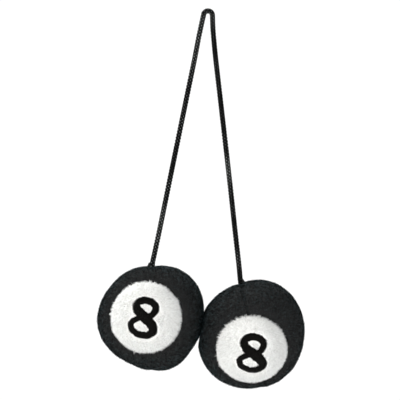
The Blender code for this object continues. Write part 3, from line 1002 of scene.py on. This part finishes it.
def scatter(obj, density, random):
    """Roots for fibres, spread evenly over a mesh: their places and normals."""
    mesh = obj.data
    mesh.calc_loop_triangles()
    corners = mesh_values(mesh.loop_triangles, "vertices", 3, np.int32)
    places = mesh_values(mesh.vertices, "co", 3, np.float32).astype(float)
    normals = mesh_values(mesh.vertices, "normal", 3, np.float32).astype(float)
    a, b, c = (places[corners[:, i]] for i in range(3))
    areas = np.linalg.norm(np.cross(b - a, c - a), axis=1) / 2
    count = int(areas.sum() * density)
    picked = random.choice(len(areas), count, p=areas / areas.sum())
    first = np.sqrt(random.random(count))[:, None]
    second = random.random(count)[:, None]
    weights = np.hstack([1 - first, first * (1 - second), first * second])
    chosen = corners[picked]
    roots = sum(places[chosen[:, i]] * weights[:, i : i + 1] for i in range(3))
    upright = sum(normals[chosen[:, i]] * weights[:, i : i + 1] for i in range(3))
    return roots, unit(upright)


def leaning(upright, nap, angle):
    """Directions at an angle from the normals, towards the nap."""
    flat = unit(nap - upright * (nap * upright).sum(axis=1, keepdims=True), TINY)
    return unit(upright * np.cos(angle)[:, None] + flat * np.sin(angle)[:, None])


def gather(roots, tips, pile, ragged, random):
    """Draws the fibres' tips together in tufts: the new tips, and each fibre's tuft."""
    tufts = max(1, len(roots) // pile.tuft)
    seeds = roots[random.choice(len(roots), tufts, replace=False)]
    finder = KDTree(tufts)
    for index, seed in enumerate(seeds):
        finder.insert(seed, index)
    finder.balance()
    tuft = np.array([finder.find(root)[1] for root in roots])
    totals = np.zeros((tufts, 3))
    np.add.at(totals, tuft, tips)
    middles = totals / np.maximum(np.bincount(tuft, minlength=tufts), 1)[:, None]
    tips = tips + pile.pull * (middles[tuft] - tips)
    tips = tips + random.normal(scale=pile.sway, size=(tufts, 3))[tuft]
    reach = 1 + ragged * random.uniform(-1, 1, tufts)[tuft]
    return roots + (tips - roots) * reach[:, None], tuft


def grow(pile, roots, upright, nap, angle, longer, ragged, random):
    """The tips of fibres that lean at an angle from the normals to the nap, and each fibre's tuft."""
    count = len(roots)
    nap = nap + random.normal(scale=pile.nap_stray, size=(count, 3))
    angle = angle + random.normal(scale=pile.lean_stray, size=count)
    lengths = longer * pile.length * random.uniform(*pile.lengths, count)
    tips = roots + leaning(upright, nap, angle) * lengths[:, None]
    return gather(roots, tips, pile, ragged, random)


def keep_apart(ball, roots, tips):
    """Lays down the fibres that would reach past the plane between the balls."""
    lean = tips - roots
    rise = lean @ ball.towards
    room = ball.reach + PILE_OVERLAP - (roots - ball.centre) @ ball.towards
    kept = np.minimum(rise, room)
    flat = unit(lean - np.outer(rise, ball.towards), TINY)
    length = np.sqrt(np.maximum((lean**2).sum(axis=1) - kept**2, 0.0))
    return roots + flat * length[:, None] + np.outer(kept, ball.towards)


def pick_shades(pile, tuft, sunk, random):
    """A shade for each fibre: mostly its tuft's, and, as painted shade, the deepest for the share of
    fibres given by sunk.
    """
    count = len(tuft)
    own = random.choice(3, count, p=pile.shares)
    shared = random.choice(3, tuft.max() + 1, p=pile.shares)[tuft]
    shades = np.where(random.random(count) < TUFT_SHADE_SHARE, shared, own)
    return np.where(random.random(count) < sunk, 0, shades)


def add_fibres(name, ball, roots, tips, width, shades, materials, random):
    """A thin spike for each fibre, closed at its root."""
    count = len(roots)
    lean = unit(tips - roots)
    aside = unit(np.cross(lean, random.normal(size=(count, 3))))
    other = np.cross(lean, aside)
    sunk = roots - lean * width
    thick = width / 2 * random.uniform(*FIBRE_THICKNESS, (count, 1))
    ring = [sunk + thick * (math.cos(t) * aside + math.sin(t) * other) for t in full_turn(3)]
    vertices = np.stack([*ring, tips], axis=1).reshape(-1, 3)
    pattern = np.array([[0, 1, 3], [1, 2, 3], [2, 0, 3], [0, 2, 1]])
    faces = (pattern[None] + 4 * np.arange(count)[:, None, None]).reshape(-1, 3)
    fibres = fixed_size_mesh(name, vertices, faces, np.repeat(shades, 4), materials)
    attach(fibres, ball.body)


def add_black_pile(name, ball, roots, upright, shortness, finishes, random):
    """Short black pile, which stands more upright and shorter in the crease round the patch, where
    more of its fibres take the deepest shade as painted shade.
    """
    crease = np.exp(-np.abs(from_rim(ball, unit(roots - ball.centre))) / CREASE_WIDTH)
    nap = np.cross(ball.out, upright) - BLACK_FALL * np.array([0.0, 0.0, 1.0])
    angle = BLACK_PILE.lean * (1 - CREASE_UPRIGHT * crease)
    longer = shortness * (1 - CREASE_SHORTER * crease)
    ragged = BLACK_PILE.ragged
    tips, tuft = grow(BLACK_PILE, roots, upright, nap, angle, longer, ragged, random)
    tips = keep_apart(ball, roots, tips)
    # painted shade: the crease round the patch gets more fibres of the deepest shade
    shades = pick_shades(BLACK_PILE, tuft, crease, random)
    materials = finishes["black_pile"]
    add_fibres(name, ball, roots, tips, BLACK_PILE.width, shades, materials, random)


def upper_left(ball, direction):
    """One towards the patch's upper left, and below zero towards its lower right."""
    height = direction @ (ball.up - RIM_LEFT * ball.right)
    return np.clip(RIM_LEVEL + RIM_SLOPE * height, RIM_LEAST, 1.0)


def add_white_pile(name, ball, roots, shortness, finishes, random):
    """White pile, combed down over the patch and outwards over its seam."""
    direction = unit(roots - ball.centre)
    share = angles_from(direction, ball.out) / ball.side.patch_half_angle
    outwards = unit(direction - ball.out * (direction @ ball.out)[:, None], TINY)
    nap = COMB_OUTWARDS * outwards * (share**2)[:, None] - COMB_DOWN * ball.up
    rim = np.clip((share - RIM_START) / (1 - RIM_START), 0, 1)
    angle = WHITE_PILE.lean + (RIM_LEAN - WHITE_PILE.lean) * rim
    longer = shortness * (1 + RIM_LONGER * rim)
    ragged = WHITE_PILE.ragged + RIM_RAGGED * rim * upper_left(ball, direction)
    tips, tuft = grow(WHITE_PILE, roots, direction, nap, angle, longer, ragged, random)
    for stray in ball.side.strays:
        tips = draw_stray(ball, stray, roots, tips)
    tips = keep_apart(ball, roots, tips)
    # painted shade: the upper part of the rim takes more of the deepest white shade
    sunk = RIM_PAINTED_SHADE * rim * np.clip(2 * direction @ ball.up, 0, 1)
    shades = pick_shades(WHITE_PILE, tuft, sunk, random)
    materials = finishes["white_pile"]
    add_fibres(name, ball, roots, tips, WHITE_PILE.width, shades, materials, random)


def draw_stray(ball, stray, roots, tips):
    """Draws the fibres near one place on the patch's rim out over the seam to one point."""
    turn = math.radians(stray.degrees)
    skin = ball.side.skin_radius
    rim = ball.side.patch_half_angle * skin
    flat = np.array([[math.cos(turn), math.sin(turn)]])
    start = ball.centre + on_patch(ball, flat * (rim - stray.width))[0] * skin
    end = ball.centre + on_patch(ball, flat * (rim + stray.length))[0] * (skin + MM)
    near = np.linalg.norm(unit(roots - ball.centre) * skin + ball.centre - start, axis=1)
    share = STRAY_PULL * np.exp(-((near / stray.width) ** 4))[:, None]
    return tips + share * (end + STRAY_SPREAD * (roots - start) - tips)


# ---------------------------------------------------------------- covers


def gore_directions(ball, quarter):
    """A quarter of the unit sphere, in the frame's directions, without the patch: points and faces."""
    index = QUARTERS.index(quarter)
    start = math.asin(EXIT_HOLE / ball.side.skin_radius)
    polar = np.linspace(start, math.pi - POLE_GAP, GORE_RINGS + 1)
    azimuth = np.linspace(index * math.pi / 2, (index + 1) * math.pi / 2, GORE_STEPS + 1)
    polar, azimuth = (grid[..., None] for grid in np.meshgrid(polar, azimuth, indexing="ij"))
    level = np.cos(azimuth) * ball.across + np.sin(azimuth) * BACK
    points = (np.sin(polar) * level + np.cos(polar) * ball.pole).reshape(-1, 3)
    shape = bmesh.new()
    made = [shape.verts.new(p) for p in points]
    for corners in grid_faces(GORE_RINGS + 1, GORE_STEPS + 1, wraps=False):
        shape.faces.new([made[i] for i in corners])
    bmesh.ops.bisect_plane(
        shape,
        geom=[*shape.verts, *shape.edges, *shape.faces],
        dist=RIM_SNAP,
        plane_co=ball.out * math.cos(ball.side.patch_half_angle),
        plane_no=ball.out,
        clear_outer=True,
    )
    shape.verts.index_update()
    directions = unit(np.array([v.co for v in shape.verts], float))
    faces = [[v.index for v in f.verts] for f in shape.faces]
    shape.free()
    return directions, faces


def face_outwards(obj, centre):
    """Turns an open skin's faces away from the ball's centre."""
    polygon = obj.data.polygons[len(obj.data.polygons) // 2]
    if (polygon.center - Vector(centre)).dot(polygon.normal) < 0:
        obj.data.flip_normals()


def thicken(obj, thickness):
    """Gives an open skin its thickness, inwards, and closes its edges."""
    solid = obj.modifiers.new("thickness", "SOLIDIFY")
    solid.thickness = thickness
    solid.offset = -1.0
    with bpy.context.temp_override(object=obj, active_object=obj, selected_objects=[obj]):
        bpy.ops.object.modifier_apply(modifier=solid.name)


def add_gore(ball, skin, quarter, finishes, random):
    """One gore of the black cover and its pile."""
    directions, faces = gore_directions(ball, quarter)
    name = f"{ball.name}_cover_{quarter}"
    gore = new_object(name, skin.places(directions), faces, finishes["black_ground"])
    face_outwards(gore, ball.centre)
    roots, upright = scatter(gore, BLACK_PILE.density, random)
    thicken(gore, SKIN_THICKNESS)
    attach(gore, ball.body)
    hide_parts(f"{ball.name}_gore_{quarter}")
    add_black_pile(f"{ball.name}_pile_{quarter}", ball, roots, upright, 1.0, finishes, random)


def patch_flat():
    """The patch's points in its own plane, ring by ring from its middle, and its faces."""
    turns = full_turn(PATCH_STEPS)
    shares = np.arange(1, PATCH_RINGS + 1) / PATCH_RINGS
    rings = shares[:, None, None] * np.stack([np.cos(turns), np.sin(turns)], axis=1)
    flat = np.vstack([[[0.0, 0.0]], rings.reshape(-1, 2)])
    quads = grid_faces(PATCH_RINGS, PATCH_STEPS, wraps=True) + 1
    middle = [[0, 1 + i, 1 + (i + 1) % PATCH_STEPS] for i in range(PATCH_STEPS)]
    return flat, [*middle, *quads.tolist()]


def numeral_line(side):
    """The numeral's centre line and the stroke's width, closed, in metres in the patch's plane."""
    line = smooth_line(NUMERAL_LINE, NUMERAL_DENSITY, closed=True) * MM
    x, y = line[:, :2].T * np.array(side.numeral.scale)[:, None]
    cosine = math.cos(side.numeral.turn)
    sine = math.sin(side.numeral.turn)
    line[:, 0] = x * cosine - y * sine + side.numeral.shift[0]
    line[:, 1] = x * sine + y * cosine + side.numeral.shift[1]
    return line


def from_numeral(ball, roots):
    """How far each root lies outside the numeral's strokes, in metres."""
    direction = unit(roots - ball.centre)
    distance = angles_from(direction, ball.out) * ball.side.skin_radius
    flat = np.stack([direction @ ball.right, direction @ ball.up], axis=1)
    flat = unit(flat, TINY) * distance[:, None]
    line = numeral_line(ball.side)[::3]  # a third of its points lie close enough together
    gap = np.linalg.norm(flat[:, None, :] - line[None, :, :2], axis=2) - line[None, :, 2] / 2
    return gap.min(axis=1)


def add_patch(ball, skin, finishes, random):
    """The white face patch and its pile."""
    flat, faces = patch_flat()
    flat = flat * (ball.side.patch_half_angle * ball.side.skin_radius - SEAM_GAP)
    places = skin.places(on_patch(ball, flat))
    patch = new_object(f"{ball.name}_patch", places, faces, finishes["white_ground"])
    face_outwards(patch, ball.centre)
    roots, _ = scatter(patch, WHITE_PILE.density, random)
    thicken(patch, SKIN_THICKNESS)
    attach(patch, ball.body)
    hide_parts(f"{ball.name}_face_patch")
    gaps = from_numeral(ball, roots)
    clear = gaps > -PILE_UNDER_THREAD
    pressed_down = 1 - PRESSED_SHARE * np.exp(-((gaps[clear] / PRESSED_WIDTH) ** 2))
    name = f"{ball.name}_patch_pile"
    add_white_pile(name, ball, roots[clear], pressed_down, finishes, random)


# ---------------------------------------------------------------- numeral


def wander(count, reach, size, random):
    """A smooth random line of numbers that closes on itself."""
    waves = random.normal(size=count + reach)
    waves[count:] = waves[:reach]
    smoothed = np.convolve(waves, np.full(reach, 1 / reach), "full")[reach:][:count]
    return size * math.sqrt(reach) * smoothed


def add_numeral(ball, skin, finishes, random):
    """The numeral as satin stitch: threads laid across the stroke, side by side."""
    line = numeral_line(ball.side)
    closed = np.vstack([line, line[:1]])
    along = lengths_along(closed[:, :2])  # without the widths
    count = int(along[-1] / THREAD_PITCH)
    middle = at_lengths(closed, np.linspace(0, along[-1], count, endpoint=False), along)
    ahead = unit(np.roll(middle, -2, axis=0)[:, :2] - np.roll(middle, 2, axis=0)[:, :2])
    across = np.stack([-ahead[:, 1], ahead[:, 0]], axis=1)
    steps = np.linspace(-1, 1, THREAD_STEPS)
    edges = [wander(count, THREAD_WANDER, EDGE_WANDER, random) for _ in range(2)]
    rough = random.normal(scale=EDGE_ROUGHNESS, size=(count, 2)) + np.stack(edges, axis=1)
    half = middle[:, 2:3] / 2 * steps[None, :]
    half = half + np.where(steps < 0, rough[:, :1], rough[:, 1:]) * steps
    flat = middle[:, None, :2] + across[:, None, :] * half[..., None]
    flat = flat + ahead[:, None, :] * THREAD_SKEW * steps[None, :, None]
    crossing = np.exp(-((np.linalg.norm(middle[:, :2], axis=1) / CROSSING_WIDTH) ** 2))
    over = crossing * (middle[:, 2] > OVER_STROKE)
    height = THREAD_HEIGHT * np.sqrt(np.clip(BLUNT - steps**2, 0, 1)) + CROSSING_RISE * over[:, None]
    height = height - THREAD_SINK + random.normal(scale=THREAD_UNEVENNESS, size=(count, 1))
    directions = on_patch(ball, flat.reshape(-1, 2))
    places = skin.places(directions, height.reshape(-1)).reshape(count, THREAD_STEPS, 3)
    add_threads(f"{ball.name}_numeral_threads", places, ball, finishes)
    add_underlay(ball, skin, middle, across, finishes)


def add_threads(name, places, ball, finishes):
    """Thin tubes along rows of points, as one piece."""
    count = len(places)
    tangents = unit(np.gradient(places, axis=1))
    sideways = unit(np.cross(tangents, unit(places - ball.centre)))
    raised = np.cross(sideways, tangents)
    turns = full_turn(THREAD_SIDES)[:, None]
    spoke = np.cos(turns) * sideways[:, :, None, :] + np.sin(turns) * raised[:, :, None, :]
    vertices = (places[:, :, None, :] + spoke * THREAD_RADIUS).reshape(-1, 3)
    pattern = closed_tube(THREAD_STEPS, THREAD_SIDES)
    size = THREAD_STEPS * THREAD_SIDES
    starts = range(0, count * size, size)
    faces = [[corner + start for corner in face] for start in starts for face in pattern]
    threads = new_object(name, vertices, faces, finishes["thread"])
    orient(threads)
    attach(threads, ball.body)
    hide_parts(f"{ball.name}_numeral")


def add_underlay(ball, skin, middle, across, finishes):
    """The padding stitches under the satin, a low rounded band along the stroke."""
    profile = np.linspace(-1, 1, UNDERLAY_STEPS)
    stations = np.vstack([middle[::2], middle[:1]])
    sides = np.vstack([across[::2], across[:1]])
    half = stations[:, 2:3] * UNDERLAY_SHARE / 2 * profile[None, :]
    flat = stations[:, None, :2] + sides[:, None, :] * half[..., None]
    height = UNDERLAY_HEIGHT * np.sqrt(np.clip(1.0 - profile**2, 0, 1)) - THREAD_SINK
    heights = np.broadcast_to(height, half.shape).reshape(-1)
    vertices = skin.places(on_patch(ball, flat.reshape(-1, 2)), heights)
    faces = grid_faces(len(stations), UNDERLAY_STEPS, wraps=False).tolist()
    under = new_object(f"{ball.name}_numeral_underlay", vertices, faces, finishes["thread"])
    face_outwards(under, ball.centre)
    thicken(under, THREAD_RADIUS)
    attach(under, ball.body)


# ---------------------------------------------------------------- tuck at the cord's exit


def add_tuck(ball, skin, finishes, random):
    """The small fold of plush that stands beside the cord where it leaves the ball."""
    tuck = ball.side.tuck
    aside = ball.across * ball.side.outwards
    start = unit(ball.pole * ball.side.skin_radius + aside * tuck.offset)
    foot = skin.places(start[None])[0]
    share = np.linspace(0, 1, TUCK_RINGS)
    height = -TUCK_ROOT + share * (tuck.height + TUCK_ROOT)
    lean = tuck.lean * tuck.radius * share**TUCK_CURVE
    line = foot + np.outer(height, ball.pole) - np.outer(lean, aside)
    rounding = np.clip((share - TUCK_SHOULDER) / (1 - TUCK_SHOULDER), 0, 1)
    dome = np.sqrt(np.clip(BLUNT - rounding**2, 0, 1))
    swell = tuck.radius * (1 - tuck.taper * share) * dome
    turns = full_turn(TUCK_SIDES)[:, None]
    crease = 1 + TUCK_FOLD_DEPTH * np.cos(TUCK_FOLDS * turns + TUCK_FOLD_TURN)
    spoke = crease * (np.cos(turns) * aside + TUCK_DEEPER * np.sin(turns) * BACK)
    vertices = line[:, None, :] + swell[:, None, None] * spoke[None]
    faces = closed_tube(TUCK_RINGS, TUCK_SIDES)
    name = f"{ball.name}_tuck"
    fold = new_object(name, vertices.reshape(-1, 3), faces, finishes["black_ground"])
    orient(fold)
    roots, upright = scatter(fold, BLACK_PILE.density, random)
    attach(fold, ball.body)
    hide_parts(f"{ball.name}_exit_tack")
    add_black_pile(f"{name}_pile", ball, roots, upright, TUCK_PILE_SHARE, finishes, random)


# ---------------------------------------------------------------- kept CAD nodes


def finish_hidden_nodes(ball, finishes):
    """Materials for the CAD parts that stay as they are, inside the balls."""
    wanted = {
        "embroidery_backing": "backing",
        "stuffing": "stuffing",
        "cord_tail": "cord_end",
        "stopper_knot": "cord_end",
    }
    for part, finish in wanted.items():
        node = frame["nodes"][f"{ball.name}_{part}"]
        for place in node.material_slots:
            place.material = finishes[finish]


# ---------------------------------------------------------------- scene


def add_ball(ball, finishes):
    """A whole ball: cover, patch, numeral and tuck."""
    random = np.random.default_rng(SEED * (1 + len(ball.name)))
    skin = Skin(ball)
    for quarter in QUARTERS:
        add_gore(ball, skin, quarter, finishes, random)
    add_patch(ball, skin, finishes, random)
    add_numeral(ball, skin, finishes, random)
    add_tuck(ball, skin, finishes, random)
    finish_hidden_nodes(ball, finishes)


def main():
    """Builds the stage and the pair of balls."""
    bpy.context.scene.view_settings.view_transform = "Standard"
    finishes = make_finishes()
    balls = [ball_of(side, other) for side, other in zip(SIDES, reversed(SIDES))]
    add_camera()
    for ball in balls:
        add_cord(ball, finishes)
    add_floor()
    add_lights()
    for ball in balls:
        add_ball(ball, finishes)


main()
